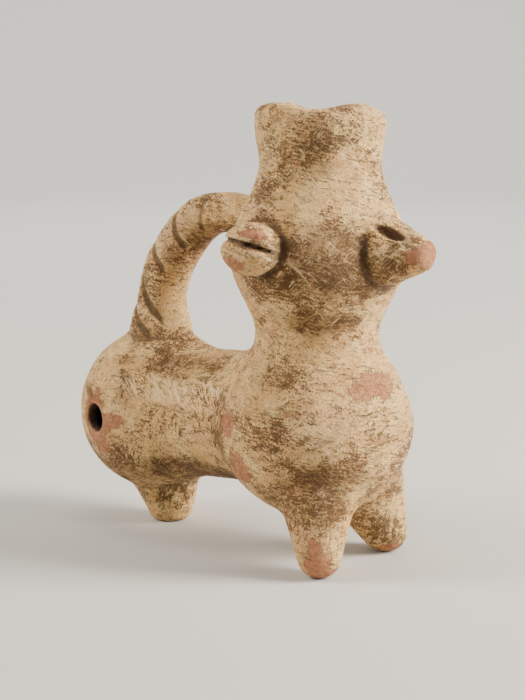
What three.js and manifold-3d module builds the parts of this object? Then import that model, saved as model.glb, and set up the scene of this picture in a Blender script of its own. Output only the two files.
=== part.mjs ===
// Zoomorphic vessel: a hand-built hollow clay pourer on three legs.
// A gourd-shaped neck and head with an open mouth rises from the chest, a short
// tube joins the chest to a round rump, and a stout handle arches from the back
// of the head down to the rump. One fired piece, so it is one solid.
// Millimetres, +Z up. The muzzle points to -Y and the rump lies at +Y. The
// origin is on the resting plane, under the middle of the vessel's box.
import * as THREE from 'three';
import { mergeVertices } from 'three/addons/utils/BufferGeometryUtils.js';
import Module from 'manifold-3d';

// ---------------------------------------------------------------- dimensions
const WALL = 5.0;                 // thickness of the clay wall

// torso (chest, waist, head bulb, neck), turned about a slightly leaning axis
const TORSO_X = -0.51;            // axis at chest height
const TORSO_LEAN = 0.02;          // drift of the axis in x per mm of height
const CHEST_Z = 50.87;            // height of the widest part of the chest
const CHEST_DROP = 34.24;         // from there down to the underside
const STATION_DZ = [0, 9, 20, 28, 36, 44, 54, 64, 74, 85, 95, 105, 113, 125];
const STATION_R = [36.26, 34.29, 29.26, 24.06, 23.01, 26.07, 30.84, 32.42, 30.17, 24.94, 22.17, 23.37, 23.86, 23.86];

// mouth rim: mean height and its wave round the axis (angle from the muzzle)
const RIM_Z = 166.55;
const RIM_COS = [-0.59, 0.46, -0.01, 0.76];   // once, twice, three and four times round
const RIM_SIN = [-0.83, 0.28, -0.30, -0.60];
const RIM_OUTER_ROUND = 5.0;

// body: tube from the chest to the rump, and the rump itself
const TUBE_Z0 = 51.14;            // tube axis height in the chest
const TUBE_R = 25.07;
const RUMP_Y = 81.08;
const RUMP_Z = 45.9;
const RUMP_RX = 30.84;
const RUMP_RY = 32.01;
const RUMP_RZ = 32.64;

// legs: [foot centre], foot radius, [top centre], top radius
const FRONT_FOOT_R = 8.04;
const FRONT_TOP_R = 13.9;
const REAR_FOOT_R = 9.63;
const REAR_TOP_R = 15.48;
const LEGS = {
  frontRight: { foot: [-19.89, -17.17, 7.52], top: [-14.4, -12.19, 27.91], rf: FRONT_FOOT_R, rt: FRONT_TOP_R },
  frontLeft: { foot: [22.29, -16.56, 7.52], top: [15.61, -11.88, 27.91], rf: FRONT_FOOT_R, rt: FRONT_TOP_R },
  rear: { foot: [2.24, 77.17, 6.74], top: [2.24, 80.3, 23.75], rf: REAR_FOOT_R, rt: REAR_TOP_R },
};

// handle: centre line in the middle plane (y, z) and radius, head to rump
const HANDLE = [
  [24.93, 124.59, 7.48], [44.93, 126.59, 7.83], [60.08, 120.97, 9.06],
  [74.04, 104.65, 9.62], [78.77, 89.51, 9.97], [79.29, 72.77, 13.27],
];

// muzzle and ear lugs: round tapering pegs
const MUZZLE_YAW = 3.62;          // degrees towards +X
const MUZZLE = { r0: 16, z0: 116.4, R0: 17.85, r1: 42.27, z1: 115.53, R1: 6.51 };
const MUZZLE_TIP_CUT = 47.9;      // worn flat end, distance from the axis
const EAR_YAW = 5.0;              // degrees towards the rump
const EAR = { r0: 20, z: 117.7, R0: 9.4, r1: 34.2, R1: 9.15, oval: 1.24 };   // oval: width over height

// slits in the ear lugs and the oval hollows on the muzzle (right-hand ones;
// the left-hand ones are their mirror images)
const EAR_SLIT = { at: [-39.94, -0.1, 119.92], along: [0.504, -0.819, -0.275], normal: [0.275, -0.149, 0.95], length: 24, wide: 3.2, narrow: 1.3, depth: 3.2 };
const MUZZLE_HOLLOW = { at: [-5.6, -35.4, 123.9], along: [0.35, -0.86, -0.38], half: [6.6, 2.6, 2.4] };

// round hole in the right flank
const HOLE_AT = [-30.05, 87.91, 45.35];
const HOLE_R = 5.65;

// how softly the masses run into each other (blend radii)
const BLEND = { tubeRump: 8.1, torsoBody: 9.48, frontLegs: 5.09, rearLeg: 2.81, handle: 3.5, ears: 1.8, muzzle: 2.94 };

// mesh fineness
const MAX_EDGE = 8.5;
const MIN_EDGE = 2.2;

// ------------------------------------------------------------ smooth outline
const V = (a) => new THREE.Vector3(a[0], a[1], a[2]);
const clamp = (x, a, b) => Math.min(b, Math.max(a, x));

function blendMin(a, b, k) {
  const h = clamp(0.5 + 0.5 * (b - a) / k, 0, 1);
  return b * (1 - h) + a * h - k * h * (1 - h);
}
const blendMax = (a, b, k) => -blendMin(-a, -b, k);

// smooth curve through the torso's stations: radius and slope at a height
const STATION_M = STATION_R.map((r, i) => {
  const n = STATION_R.length;
  if (i === 0) return 0;
  if (i === n - 1) return (STATION_R[i] - STATION_R[i - 1]) / (STATION_DZ[i] - STATION_DZ[i - 1]);
  const h0 = STATION_DZ[i] - STATION_DZ[i - 1], h1 = STATION_DZ[i + 1] - STATION_DZ[i];
  const s0 = (STATION_R[i] - STATION_R[i - 1]) / h0, s1 = (STATION_R[i + 1] - STATION_R[i]) / h1;
  return (s0 * h1 + s1 * h0) / (h0 + h1);
});
function torsoRadius(z) {
  const x = z - CHEST_Z;
  let i = 0;
  while (i < STATION_DZ.length - 2 && x > STATION_DZ[i + 1]) i++;
  const h = STATION_DZ[i + 1] - STATION_DZ[i], t = clamp((x - STATION_DZ[i]) / h, 0, 1);
  const t2 = t * t, t3 = t2 * t;
  const r = (2 * t3 - 3 * t2 + 1) * STATION_R[i] + (t3 - 2 * t2 + t) * h * STATION_M[i]
    + (3 * t2 - 2 * t3) * STATION_R[i + 1] + (t3 - t2) * h * STATION_M[i + 1];
  const dr = ((6 * t2 - 6 * t) * (STATION_R[i] - STATION_R[i + 1])) / h
    + (3 * t2 - 4 * t + 1) * STATION_M[i] + (3 * t2 - 2 * t) * STATION_M[i + 1];
  return [r, dr];
}
const torsoAxisX = (z) => TORSO_X + TORSO_LEAN * (z - CHEST_Z);

// height of the mouth rim in the direction (x, y) from the axis
function rimWave(x, y) {
  const rho = Math.max(Math.hypot(x, y), 1e-6);
  const a = Math.atan2(x / rho, -y / rho);
  let w = 0;
  for (let n = 0; n < RIM_COS.length; n++) w += RIM_COS[n] * Math.cos((n + 1) * a) + RIM_SIN[n] * Math.sin((n + 1) * a);
  return w;
}

function ellipsoidField(x, y, z, c, r) {
  const q = [(x - c[0]) / r[0], (y - c[1]) / r[1], (z - c[2]) / r[2]];
  const k0 = Math.hypot(q[0], q[1], q[2]);
  const k1 = Math.hypot(q[0] / r[0], q[1] / r[1], q[2] / r[2]);
  return k0 * (k0 - 1) / Math.max(k1, 1e-9);
}

function roundConeField(x, y, z, a, b, r1, r2) {
  const ba = [b[0] - a[0], b[1] - a[1], b[2] - a[2]], pa = [x - a[0], y - a[1], z - a[2]];
  const l2 = ba[0] ** 2 + ba[1] ** 2 + ba[2] ** 2, rr = r1 - r2, a2 = l2 - rr * rr, il2 = 1 / l2;
  const t = pa[0] * ba[0] + pa[1] * ba[1] + pa[2] * ba[2], w = t - l2;
  let x2 = 0;
  for (let i = 0; i < 3; i++) x2 += (pa[i] * l2 - ba[i] * t) ** 2;
  const y2 = t * t * l2, z2 = w * w * l2, k = Math.sign(rr) * rr * rr * x2;
  if (Math.sign(w) * a2 * z2 > k) return Math.sqrt(x2 + z2) * il2 - r2;
  if (Math.sign(t) * a2 * y2 < k) return Math.sqrt(x2 + y2) * il2 - r1;
  return (Math.sqrt(x2 * a2 * il2) + t * rr) * il2 - r1;
}

// handle centre line: a smooth curve through its points, radius carried along
function handleSamples(stepsPerSpan) {
  const P = [HANDLE[0].map((v, i) => 2 * v - HANDLE[1][i]), ...HANDLE, HANDLE.at(-1).map((v, i) => 2 * v - HANDLE.at(-2)[i])];
  P[0][2] = HANDLE[0][2];
  P[P.length - 1][2] = HANDLE.at(-1)[2];
  const out = [];
  for (let s = 1; s < P.length - 2; s++) {
    for (let j = 0; j < stepsPerSpan; j++) {
      const t = j / stepsPerSpan, t2 = t * t, t3 = t2 * t;
      const w = [-t3 + 2 * t2 - t, 3 * t3 - 5 * t2 + 2, -3 * t3 + 4 * t2 + t, t3 - t2].map((v) => v / 2);
      out.push([0, 1, 2].map((c) => w[0] * P[s - 1][c] + w[1] * P[s][c] + w[2] * P[s + 1][c] + w[3] * P[s + 2][c]));
    }
  }
  out.push([...HANDLE.at(-1)]);
  return out;
}
const HANDLE_PATH = handleSamples(4);

const rad = THREE.MathUtils.degToRad;
const MUZZLE_DIR = [Math.sin(rad(MUZZLE_YAW)), -Math.cos(rad(MUZZLE_YAW)), 0];
const earDir = (side) => [side * Math.cos(rad(EAR_YAW)), Math.sin(rad(EAR_YAW)), 0];
const earAxisY = (x) => Math.abs(x) * Math.tan(rad(EAR_YAW));
const along = (d, s, z) => [d[0] * s, d[1] * s, z];

// signed distance (about) to the finished outside, negative inside the clay
function outsideField(x, y, z) {
  const tx = x - torsoAxisX(z), rho = Math.hypot(tx, y);
  const [r, dr] = torsoRadius(z);
  let d = z > CHEST_Z ? (rho - r) / Math.sqrt(1 + dr * dr)
    : ellipsoidField(tx, y, z, [0, 0, CHEST_Z], [STATION_R[0], STATION_R[0], CHEST_DROP]);
  d = blendMax(d, z - (RIM_Z + rimWave(tx, y)), RIM_OUTER_ROUND);
  const rump = ellipsoidField(x, y, z, [0, RUMP_Y, RUMP_Z], [RUMP_RX, RUMP_RY, RUMP_RZ]);
  const ay = RUMP_Y, az = RUMP_Z - TUBE_Z0, al = Math.hypot(ay, az);
  const t = (y * ay + (z - TUBE_Z0) * az) / al;
  const off = Math.sqrt(Math.max(x * x + y * y + (z - TUBE_Z0) ** 2 - t * t, 0));
  const tube = Math.max(off - TUBE_R, t - RUMP_Y, -t);
  d = blendMin(d, blendMin(rump, tube, BLEND.tubeRump), BLEND.torsoBody);
  for (const [name, k] of [['frontRight', BLEND.frontLegs], ['frontLeft', BLEND.frontLegs], ['rear', BLEND.rearLeg]]) {
    const l = LEGS[name];
    d = blendMin(d, roundConeField(x, y, z, l.top, l.foot, l.rt, l.rf), k);
  }
  let h = Infinity;
  for (let i = 0; i + 1 < HANDLE_PATH.length; i++) {
    const a = HANDLE_PATH[i], b = HANDLE_PATH[i + 1];
    h = Math.min(h, roundConeField(x, y, z, [0, a[0], a[1]], [0, b[0], b[1]], a[2], b[2]));
  }
  d = blendMin(d, h, BLEND.handle);
  for (const side of [-1, 1]) {
    const e = earDir(side);
    const ye = earAxisY(x);
    d = blendMin(d, roundConeField(x, ye + (y - ye) / EAR.oval, z, along(e, EAR.r0, EAR.z), along(e, EAR.r1, EAR.z), EAR.R0, EAR.R1), BLEND.ears);
  }
  return blendMin(d, roundConeField(x, y, z, along(MUZZLE_DIR, MUZZLE.r0, MUZZLE.z0), along(MUZZLE_DIR, MUZZLE.r1, MUZZLE.z1), MUZZLE.R0, MUZZLE.R1), BLEND.muzzle);
}

// ----------------------------------------------------------------- geometry
const wasm = await Module();
wasm.setup();

function toSolid(geometry) {
  let g = geometry.clone();
  g.deleteAttribute('normal');
  g.deleteAttribute('uv');
  g = mergeVertices(g, 1e-4);
  const index = g.index.array, tri = [];
  for (let i = 0; i < index.length; i += 3) {
    const [a, b, c] = [index[i], index[i + 1], index[i + 2]];
    if (a !== b && b !== c && a !== c) tri.push(a, b, c);
  }
  return solidFrom(g.attributes.position.array, tri);
}
function solidFrom(positions, triangles) {
  return new wasm.Manifold(new wasm.Mesh({ numProp: 3, vertProperties: new Float32Array(positions), triVerts: new Uint32Array(triangles) }));
}

// a body turned about Z from [radius, height] pairs, lowest first
function turned(profile, segments) {
  const g = new THREE.LatheGeometry(profile.map(([r, z]) => new THREE.Vector2(r, z)), segments);
  g.rotateX(Math.PI / 2);
  return g;
}
function moveVertices(g, f) {
  const p = g.attributes.position;
  for (let i = 0; i < p.count; i++) p.setXYZ(i, ...f(p.getX(i), p.getY(i), p.getZ(i)));
  return g;
}
const smooth = (a, b, x) => { const t = clamp((x - a) / (b - a), 0, 1); return t * t * (3 - 2 * t); };

// torso, `inset` inside its outer face; the top follows the wave of the rim
function torso(inset, segments, rows, topProfile) {
  const profile = [];
  const r0 = STATION_R[0] - inset, drop = CHEST_DROP - inset;
  for (let i = 0; i <= rows; i++) {
    const a = Math.PI / 2 * (i / rows);
    profile.push([i ? r0 * Math.sin(a) : 0, CHEST_Z - drop * Math.cos(a)]);
  }
  const zTop = topProfile[0][1], n = Math.round(rows * 2.6);
  for (let i = 1; i < n; i++) {
    const z = CHEST_Z + (zTop - CHEST_Z) * i / n;
    profile.push([torsoRadius(z)[0] - inset, z]);
  }
  profile.push(...topProfile);
  return moveVertices(turned(profile, segments), (x, y, z) => {
    const w = smooth(RIM_Z - 16, RIM_Z - 2, z) * rimWave(x, y);
    return [x + torsoAxisX(z), y, z + (Math.hypot(x, y) > 1 ? w : 0)];
  });
}

// a peg with round ends between two centres
function peg(a, b, r1, r2, segments, rows) {
  const A = V(a), B = V(b), L = A.distanceTo(B), s = (r1 - r2) / L, t0 = Math.asin(clamp(s, -1, 1));
  const profile = [];
  for (let i = 0; i <= rows; i++) {
    const t = -Math.PI / 2 + (t0 + Math.PI / 2) * i / rows;
    profile.push([i ? r1 * Math.cos(t) : 0, r1 * Math.sin(t)]);
  }
  for (let i = 1; i < 4; i++) {
    const u = i / 4, r = r1 + (r2 - r1) * u;
    profile.push([r * Math.cos(t0), L * u + r * Math.sin(t0)]);
  }
  for (let i = 0; i <= rows; i++) {
    const t = t0 + (Math.PI / 2 - t0) * i / rows;
    profile.push([i === rows ? 0 : r2 * Math.cos(t), L + r2 * Math.sin(t)]);
  }
  const g = turned(profile, segments);
  g.applyQuaternion(new THREE.Quaternion().setFromUnitVectors(new THREE.Vector3(0, 0, 1), B.clone().sub(A).normalize()));
  g.translate(A.x, A.y, A.z);
  return g;
}

// tube and rump about the body axis, `inset` inside the outer face
function bodyMass(inset, segments) {
  const rump = new THREE.SphereGeometry(1, segments, Math.round(segments * 0.6));
  rump.rotateX(Math.PI / 2);
  rump.rotateX(Math.PI / 2);
  rump.scale(RUMP_RX - inset, RUMP_RY - inset, RUMP_RZ - inset);
  rump.translate(0, RUMP_Y, RUMP_Z);
  const length = Math.hypot(RUMP_Y, RUMP_Z - TUBE_Z0);
  const tube = new THREE.CylinderGeometry(TUBE_R - inset, TUBE_R - inset, length, segments, 8);
  tube.rotateX(Math.atan2(RUMP_Z - TUBE_Z0, RUMP_Y));
  tube.translate(0, RUMP_Y / 2, (RUMP_Z + TUBE_Z0) / 2);
  return toSolid(tube).add(toSolid(rump));
}

// the handle: a cylinder bent along its centre line
function handleBody(segments) {
  const path = handleSamples(5);
  const rows = path.length - 1;
  const g = new THREE.CylinderGeometry(1, 1, 1, segments, rows);
  return moveVertices(g, (x, y, z) => {
    const s = (y + 0.5) * rows, i = Math.min(Math.floor(s + 1e-6), rows - 1), t = s - i;
    const a = path[i], b = path[i + 1];
    const p0 = path[Math.max(i - 1, 0)], p1 = path[Math.min(i + 2, rows)];
    const c = [a[0] + (b[0] - a[0]) * t, a[1] + (b[1] - a[1]) * t], r = a[2] + (b[2] - a[2]) * t;
    const before = t < 0.5 ? p0 : a, after = t < 0.5 ? b : p1;
    const d = new THREE.Vector2(after[0] - before[0], after[1] - before[1]).normalize();
    return [x * r, c[0] - d.y * z * r, c[1] + d.x * z * r];
  });
}

// ------------------------------------------------- fairing of the joined mass
// long edges are halved, very short ones drawn together, and every point is
// laid on the smooth outline, which rounds the seams between the masses
function splitLong(mesh, limit) {
  for (let pass = 0; pass < 8; pass++) {
    const { pos, tri } = mesh, mid = new Map(), out = [];
    const len = (a, b) => Math.hypot(pos[3 * a] - pos[3 * b], pos[3 * a + 1] - pos[3 * b + 1], pos[3 * a + 2] - pos[3 * b + 2]);
    const half = (a, b) => {
      const key = a < b ? `${a}_${b}` : `${b}_${a}`;
      if (!mid.has(key)) {
        mid.set(key, pos.length / 3);
        for (let c = 0; c < 3; c++) pos.push((pos[3 * a + c] + pos[3 * b + c]) / 2);
      }
      return mid.get(key);
    };
    let any = false;
    for (let i = 0; i < tri.length; i += 3) {
      const v = [tri[i], tri[i + 1], tri[i + 2]];
      const long = v.map((a, j) => len(a, v[(j + 1) % 3]) > limit);
      const n = long.filter(Boolean).length;
      if (!n) { out.push(...v); continue; }
      any = true;
      const m = v.map((a, j) => (long[j] ? half(a, v[(j + 1) % 3]) : -1));
      if (n === 3) { out.push(v[0], m[0], m[2], m[0], v[1], m[1], m[1], v[2], m[2], m[0], m[1], m[2]); continue; }
      if (n === 1) { const j = long.indexOf(true), a = v[j], b = v[(j + 1) % 3], c = v[(j + 2) % 3]; out.push(a, m[j], c, m[j], b, c); continue; }
      const j = long.indexOf(false), a = v[j], b = v[(j + 1) % 3], c = v[(j + 2) % 3];
      const mb = m[(j + 1) % 3], mc = m[(j + 2) % 3];
      out.push(mb, c, mc);
      if (len(a, mb) < len(b, mc)) out.push(a, b, mb, a, mb, mc); else out.push(a, b, mc, b, mb, mc);
    }
    mesh.tri = out;
    if (!any) break;
  }
  return mesh;
}

function drawTogether(mesh, limit) {
  for (let pass = 0; pass < 12; pass++) {
    const { pos, tri } = mesh, n = pos.length / 3;
    const P = (a) => [pos[3 * a], pos[3 * a + 1], pos[3 * a + 2]];
    const around = Array.from({ length: n }, () => []);
    for (let i = 0; i < tri.length; i++) around[tri[i]].push(Math.floor(i / 3));
    const normalOf = (a, b, c) => {
      const u = [b[0] - a[0], b[1] - a[1], b[2] - a[2]], v = [c[0] - a[0], c[1] - a[1], c[2] - a[2]];
      return [u[1] * v[2] - u[2] * v[1], u[2] * v[0] - u[0] * v[2], u[0] * v[1] - u[1] * v[0]];
    };
    const short = [];
    for (let i = 0; i < tri.length; i += 3) {
      for (let j = 0; j < 3; j++) {
        const a = tri[i + j], b = tri[i + (j + 1) % 3];
        if (a > b) continue;
        const A = P(a), B = P(b), d = Math.hypot(A[0] - B[0], A[1] - B[1], A[2] - B[2]);
        if (d < limit) short.push([d, a, b]);
      }
    }
    short.sort((p, q) => p[0] - q[0] || p[1] - q[1] || p[2] - q[2]);
    const locked = new Uint8Array(n), gone = new Uint8Array(tri.length / 3), remap = new Map();
    let count = 0;
    for (const [, a, b] of short) {
      const ring = (v) => { const s = new Set(); for (const f of around[v]) for (let j = 0; j < 3; j++) s.add(tri[3 * f + j]); s.delete(v); return s; };
      const ra = ring(a), rb = ring(b);
      let shared = 0, blocked = locked[a] || locked[b];
      for (const v of ra) { if (rb.has(v)) shared++; if (locked[v]) blocked = 1; }
      for (const v of rb) if (locked[v]) blocked = 1;
      if (blocked || shared !== 2) continue;
      const M = P(a).map((v, c) => (v + P(b)[c]) / 2);
      let good = true;
      for (const v of [a, b]) {
        for (const f of around[v]) {
          const q = [tri[3 * f], tri[3 * f + 1], tri[3 * f + 2]];
          if (q.includes(a) && q.includes(b)) continue;
          const before = normalOf(...q.map(P)), after = normalOf(...q.map((w) => (w === v ? M : P(w))));
          const lb = Math.hypot(...before), la = Math.hypot(...after);
          if (la < 0.02 || before[0] * after[0] + before[1] * after[1] + before[2] * after[2] < 0.5 * la * lb) good = false;
        }
      }
      if (!good) continue;
      for (const f of around[a]) { const q = [tri[3 * f], tri[3 * f + 1], tri[3 * f + 2]]; if (q.includes(b)) gone[f] = 1; }
      pos[3 * a] = M[0]; pos[3 * a + 1] = M[1]; pos[3 * a + 2] = M[2];
      remap.set(b, a);
      locked[a] = locked[b] = 1;
      for (const v of [...ra, ...rb]) locked[v] = 1;
      count++;
    }
    if (!count) break;
    const out = [];
    for (let f = 0; f < gone.length; f++) {
      if (gone[f]) continue;
      for (let j = 0; j < 3; j++) { const v = tri[3 * f + j]; out.push(remap.has(v) ? remap.get(v) : v); }
    }
    mesh.tri = out;
  }
  return mesh;
}

function layOnOutline(mesh) {
  const e = 0.05, { pos } = mesh;
  for (let i = 0; i < pos.length; i += 3) {
    for (let n = 0; n < 3; n++) {
      const [x, y, z] = [pos[i], pos[i + 1], pos[i + 2]], d = outsideField(x, y, z);
      const g = [outsideField(x + e, y, z) - outsideField(x - e, y, z), outsideField(x, y + e, z) - outsideField(x, y - e, z), outsideField(x, y, z + e) - outsideField(x, y, z - e)];
      const l = Math.hypot(...g) / (2 * e);
      if (l < 0.3 || Math.abs(d) > 4) break;
      for (let c = 0; c < 3; c++) pos[i + c] -= clamp(d, -1.5, 1.5) * g[c] / (2 * e) / (l * l);
    }
  }
  return mesh;
}

// the thinnest triangles, nearly straight lines, trade their longest side for
// the other diagonal
function swapThin(mesh, height) {
  const { pos, tri } = mesh;
  const P = (a) => V([pos[3 * a], pos[3 * a + 1], pos[3 * a + 2]]);
  for (let pass = 0; pass < 6; pass++) {
    const side = new Map();
    for (let i = 0; i < tri.length; i += 3) for (let j = 0; j < 3; j++) side.set(`${tri[i + j]}_${tri[i + (j + 1) % 3]}`, i);
    const touched = new Set();
    let count = 0;
    for (let i = 0; i < tri.length; i += 3) {
      if (touched.has(i)) continue;
      const v = [tri[i], tri[i + 1], tri[i + 2]], p = v.map(P);
      const l = [0, 1, 2].map((j) => p[j].distanceTo(p[(j + 1) % 3])), j = l.indexOf(Math.max(...l));
      const area2 = p[1].clone().sub(p[0]).cross(p[2].clone().sub(p[0])).length();
      if (area2 / l[j] > height) continue;
      const a = v[j], b = v[(j + 1) % 3], c = v[(j + 2) % 3], o = side.get(`${b}_${a}`);
      if (o === undefined || touched.has(o)) continue;
      const d = [tri[o], tri[o + 1], tri[o + 2]].find((w) => w !== a && w !== b);
      if (d === c || side.has(`${c}_${d}`) || side.has(`${d}_${c}`)) continue;
      const n = (x, y, z) => P(y).sub(P(x)).cross(P(z).sub(P(x)));
      const old = n(b, a, d), n1 = n(a, d, c), n2 = n(d, b, c);
      if (Math.min(n1.length(), n2.length()) < area2 || n1.dot(old) <= 0 || n2.dot(old) <= 0) continue;
      tri.splice(i, 3, a, d, c);
      tri.splice(o, 3, d, b, c);
      touched.add(i); touched.add(o);
      side.set(`${c}_${d}`, i); side.set(`${d}_${c}`, o);
      count++;
    }
    if (!count) break;
  }
  return mesh;
}

function opened(solid) {
  const m = solid.getMesh(), pos = [];
  for (let i = 0; i < m.vertProperties.length; i += m.numProp) pos.push(m.vertProperties[i], m.vertProperties[i + 1], m.vertProperties[i + 2]);
  return { pos, tri: Array.from(m.triVerts) };
}
function closed(mesh) {
  const used = new Map(), points = [], faces = [];
  for (const v of mesh.tri) {
    if (!used.has(v)) { used.set(v, points.length / 3); points.push(mesh.pos[3 * v], mesh.pos[3 * v + 1], mesh.pos[3 * v + 2]); }
    faces.push(used.get(v));
  }
  return solidFrom(points, faces);
}
function tidied(solid, limit) {
  return closed(drawTogether(swapThin(drawTogether(opened(solid), limit), limit / 6), limit));
}
function faired(solid) {
  let mesh = drawTogether(opened(solid), MIN_EDGE);
  mesh = layOnOutline(splitLong(mesh, MAX_EDGE));
  return closed(drawTogether(swapThin(drawTogether(mesh, MIN_EDGE), 0.15), MIN_EDGE));
}

// --------------------------------------------------------------- the vessel
// outside: the masses, joined
const rimTop = [[STATION_R.at(-1) + 0.0, RIM_Z - 6], [STATION_R.at(-1) - 0.35, RIM_Z - 3], [STATION_R.at(-1) - 1.6, RIM_Z - 1.1], [STATION_R.at(-1) - 3.4, RIM_Z - 0.2], [STATION_R.at(-1) - 5.2, RIM_Z], [STATION_R.at(-1) - 12, RIM_Z], [0, RIM_Z]];
let mass = toSolid(torso(0, 40, 9, rimTop)).add(bodyMass(0, 32));
for (const l of Object.values(LEGS)) mass = mass.add(toSolid(peg(l.top, l.foot, l.rt, l.rf, 18, 4)));
mass = mass.add(toSolid(handleBody(18)));
for (const side of [-1, 1]) {
  const e = earDir(side);
  const lug = peg(along(e, EAR.r0, EAR.z), along(e, EAR.r1, EAR.z), EAR.R0, EAR.R1, 22, 5);
  mass = mass.add(toSolid(moveVertices(lug, (x, y, z) => [x, earAxisY(x) + (y - earAxisY(x)) * EAR.oval, z])));
}
mass = mass.add(toSolid(peg(along(MUZZLE_DIR, MUZZLE.r0, MUZZLE.z0), along(MUZZLE_DIR, MUZZLE.r1, MUZZLE.z1), MUZZLE.R0, MUZZLE.R1, 24, 5)));
let vessel = faired(mass);

// worn flats: under the feet and at the muzzle's end
function slab(width, height, depth, matrix) {
  const g = new THREE.BoxGeometry(width, height, depth);
  g.applyMatrix4(matrix);
  return toSolid(g);
}
vessel = vessel.subtract(slab(200, 300, 20, new THREE.Matrix4().makeTranslation(0, 30, -10)));
vessel = vessel.subtract(slab(40, 20, 40, new THREE.Matrix4().makeRotationZ(rad(MUZZLE_YAW)).premultiply(
  new THREE.Matrix4().makeTranslation(...along(MUZZLE_DIR, MUZZLE_TIP_CUT + 10, MUZZLE.z1)))));

// slits across the ear lugs, and the oval hollows on the muzzle
function earSlit(side) {
  const s = EAR_SLIT, h = s.length / 2;
  const shape = new THREE.Shape();
  shape.moveTo(-h, -s.wide / 2);
  shape.lineTo(h, -s.narrow / 2);
  shape.lineTo(h, s.narrow / 2);
  shape.lineTo(-h, s.wide / 2);
  shape.closePath();
  const g = new THREE.ExtrudeGeometry(shape, { depth: 12, bevelEnabled: false, curveSegments: 1 });
  const X = V(s.along).normalize(), Y = V(s.normal).normalize(), Z = new THREE.Vector3().crossVectors(X, Y).normalize();
  if (Z.x > 0) Z.negate();                    // outwards, on the right-hand side
  Y.crossVectors(Z, X);
  const start = V(s.at).addScaledVector(Z, -s.depth);
  const m = new THREE.Matrix4().makeBasis(X, Y, Z).setPosition(start);
  g.applyMatrix4(m);
  return mirrored(g, side);
}
function mirrored(g, side) {
  if (side > 0) {
    g = g.index ? g.toNonIndexed() : g;
    const p = g.attributes.position;
    for (let i = 0; i < p.count; i += 3) {
      const t = [0, 1, 2].map((k) => [-p.getX(i + k), p.getY(i + k), p.getZ(i + k)]);
      p.setXYZ(i, ...t[0]); p.setXYZ(i + 1, ...t[2]); p.setXYZ(i + 2, ...t[1]);
    }
  }
  return toSolid(g);
}
function muzzleHollow(side) {
  const s = MUZZLE_HOLLOW;
  const g = new THREE.SphereGeometry(1, 16, 10);
  g.scale(...s.half);
  const X = V(s.along).normalize(), Z = new THREE.Vector3(-0.6, -0.5, 0.62).normalize();
  const Y = new THREE.Vector3().crossVectors(Z, X).normalize();
  Z.crossVectors(X, Y);
  g.applyMatrix4(new THREE.Matrix4().makeBasis(X, Y, Z).setPosition(V(s.at)));
  return mirrored(g, side);
}
for (const side of [-1, 1]) vessel = vessel.subtract(earSlit(side)).subtract(muzzleHollow(side));

// inside: the hollow of torso, tube and rump, open at the mouth
const innerR = STATION_R.at(-1) - WALL;
const mouth = [[innerR, RIM_Z - 6], [innerR, RIM_Z - 3], [innerR + 0.5, RIM_Z - 1.5], [innerR + 1.4, RIM_Z - 0.3], [innerR + 2.6, RIM_Z + 0.6], [innerR + 2.6, RIM_Z + 14], [0, RIM_Z + 14]];
const hollow = toSolid(torso(WALL, 30, 7, mouth)).add(bodyMass(WALL, 24));
vessel = vessel.subtract(hollow);

// the round hole through the right flank, square to the rump's curve there
const out = V(HOLE_AT).sub(new THREE.Vector3(0, RUMP_Y, RUMP_Z)).normalize();
const drill = new THREE.CylinderGeometry(HOLE_R, HOLE_R, 24, 24, 1);
drill.applyQuaternion(new THREE.Quaternion().setFromUnitVectors(new THREE.Vector3(0, 1, 0), out));
drill.translate(HOLE_AT[0] - out.x * 2, HOLE_AT[1] - out.y * 2, HOLE_AT[2] - out.z * 2);
vessel = vessel.subtract(toSolid(drill));

vessel = tidied(vessel, 0.6);

// back to a scene mesh, with the origin under the middle of its box
const result = vessel.getMesh();
const geometry = new THREE.BufferGeometry();
geometry.setAttribute('position', new THREE.BufferAttribute(new Float32Array(result.vertProperties), 3));
geometry.setIndex(new THREE.BufferAttribute(new Uint32Array(result.triVerts), 1));
geometry.computeBoundingBox();
const box = geometry.boundingBox, centre = box.getCenter(new THREE.Vector3());
geometry.translate(-centre.x, -centre.y, -box.min.z);
geometry.computeVertexNormals();

const slippedClay = new THREE.MeshStandardMaterial({ color: 0xb9a488, roughness: 0.72, metalness: 0 });
const mesh = new THREE.Mesh(geometry, slippedClay);
mesh.name = 'vessel';
const group = new THREE.Group();
group.add(mesh);
export default group;
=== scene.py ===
import bpy, math
import numpy as np
from mathutils import Matrix, Vector


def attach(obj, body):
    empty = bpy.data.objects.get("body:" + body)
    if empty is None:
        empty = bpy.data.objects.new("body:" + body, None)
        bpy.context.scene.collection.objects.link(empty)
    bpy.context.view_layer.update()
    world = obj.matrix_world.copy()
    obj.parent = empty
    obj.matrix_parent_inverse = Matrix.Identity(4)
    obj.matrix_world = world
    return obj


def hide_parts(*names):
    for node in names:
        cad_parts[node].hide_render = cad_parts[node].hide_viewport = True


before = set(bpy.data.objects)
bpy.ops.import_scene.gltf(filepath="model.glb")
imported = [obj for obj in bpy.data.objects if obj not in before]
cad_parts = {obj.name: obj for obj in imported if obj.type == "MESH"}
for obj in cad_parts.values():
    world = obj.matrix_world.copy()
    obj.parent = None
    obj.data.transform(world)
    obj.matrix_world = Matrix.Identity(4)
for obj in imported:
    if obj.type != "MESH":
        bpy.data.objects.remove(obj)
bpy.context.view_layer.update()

# --------------------------------------------------------------------------
# The outside of the vessel as a smooth field, in millimetres, with the torso
# axis at x = y = 0. Its dimensions are those of the CAD solid. SHIFT_Y moves
# it to the row frame, whose origin is under the middle of the box.
SHIFT_Y = 32.572
WALL = 5.0
CZ, CR, CDROP = 50.87, 36.26, 34.24
ST_Z = CZ + np.array([0, 9, 20, 28, 36, 44, 54, 64, 74, 85, 95, 105, 113, 125.0])
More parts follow.
